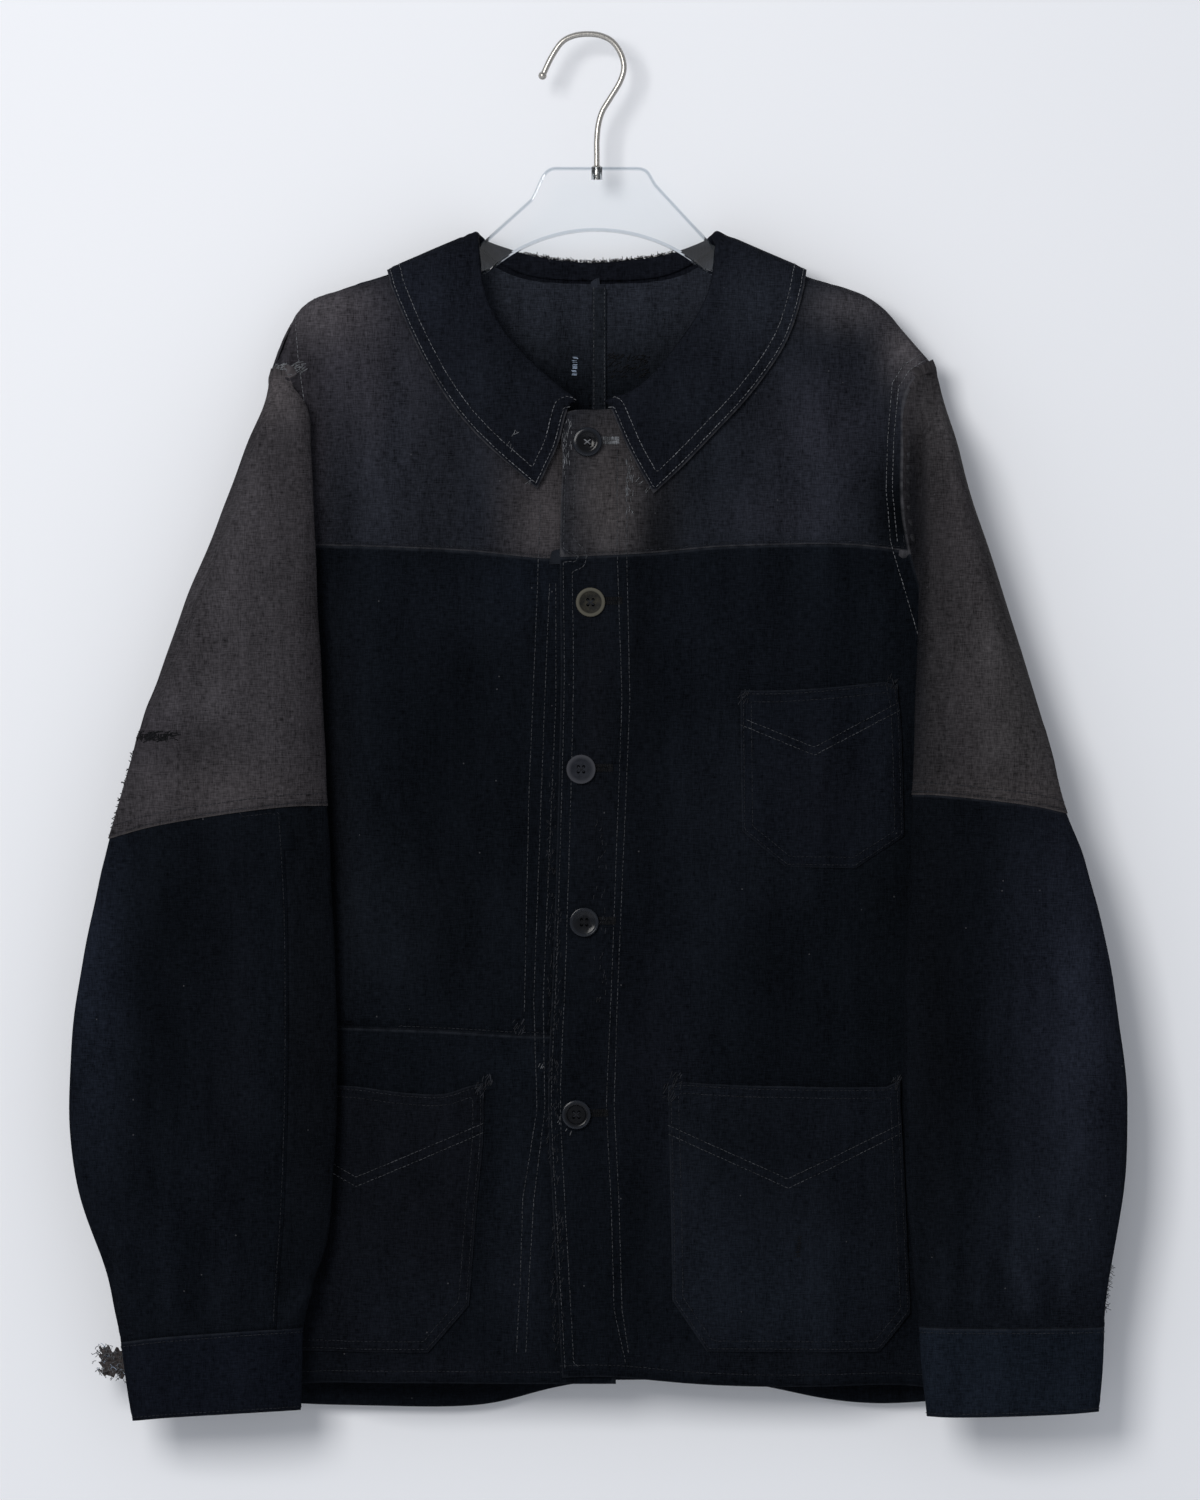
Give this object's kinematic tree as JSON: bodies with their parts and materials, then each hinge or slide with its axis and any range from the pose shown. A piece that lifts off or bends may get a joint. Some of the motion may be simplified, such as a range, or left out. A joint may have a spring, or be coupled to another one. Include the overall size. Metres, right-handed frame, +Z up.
{
  "type": "patched work jacket on a clear coat hanger",
  "caption": "Worn, mended work jacket with a flat pointed collar, patch pockets and buttoned front, hanging flat on a clear plate hanger with a metal hook.",
  "frame": {"origin": "inside of the hook's crest, where the rail or peg that holds the hanger touches it", "axes": "+Z up, +X to the wearer's left, -Y out of the front of the jacket"},
  "size_m": [0.6707, 0.0633, 0.8838],
  "materials": {
    "hook_steel": "drawn steel wire with a soft shine, a little dulled by handling",
    "clear_acrylic": "clear cast acrylic with polished, bevelled edges",
    "faded_moleskin": "black cotton moleskin faded blue-grey, napped, worn pale along seams and edges",
    "dark_moleskin": "newer black cotton moleskin, matt, with light stitching",
    "brown_moleskin": "old black moleskin faded to brown-grey, thin and rubbed",
    "black_button": "polished black plastic",
    "olive_button": "olive-brown marbled plastic with a paler rim",
    "grey_button": "grey satin plastic"
  },
  "bodies": {
    "root": {"hook": "hook_steel", "hook_ferrule": "hook_steel", "hanger_plate": "clear_acrylic", "front_left_upper": "faded_moleskin", "front_left_lower": "dark_moleskin", "front_right_upper": "faded_moleskin", "front_right_middle": "dark_moleskin", "front_right_bottom": "dark_moleskin", "back_left_upper": "faded_moleskin", "back_left_lower": "dark_moleskin", "back_right_upper": "faded_moleskin", "back_right_lower": "dark_moleskin", "back_fell": "faded_moleskin", "collar": "faded_moleskin", "sleeve_left_upper": "brown_moleskin", "sleeve_left_lower": "dark_moleskin", "cuff_left": "dark_moleskin", "sleeve_right_upper": "brown_moleskin", "sleeve_right_lower_outer": "dark_moleskin", "sleeve_right_lower_inner": "dark_moleskin", "cuff_right": "dark_moleskin", "cuff_right_underlay": "brown_moleskin", "pocket_chest": "dark_moleskin", "pocket_lower_left": "dark_moleskin", "pocket_lower_right": "dark_moleskin", "button_1": "black_button", "button_2": "olive_button", "button_3": "grey_button", "button_4": "black_button", "button_5": "black_button"}
  },
  "joints": []
}
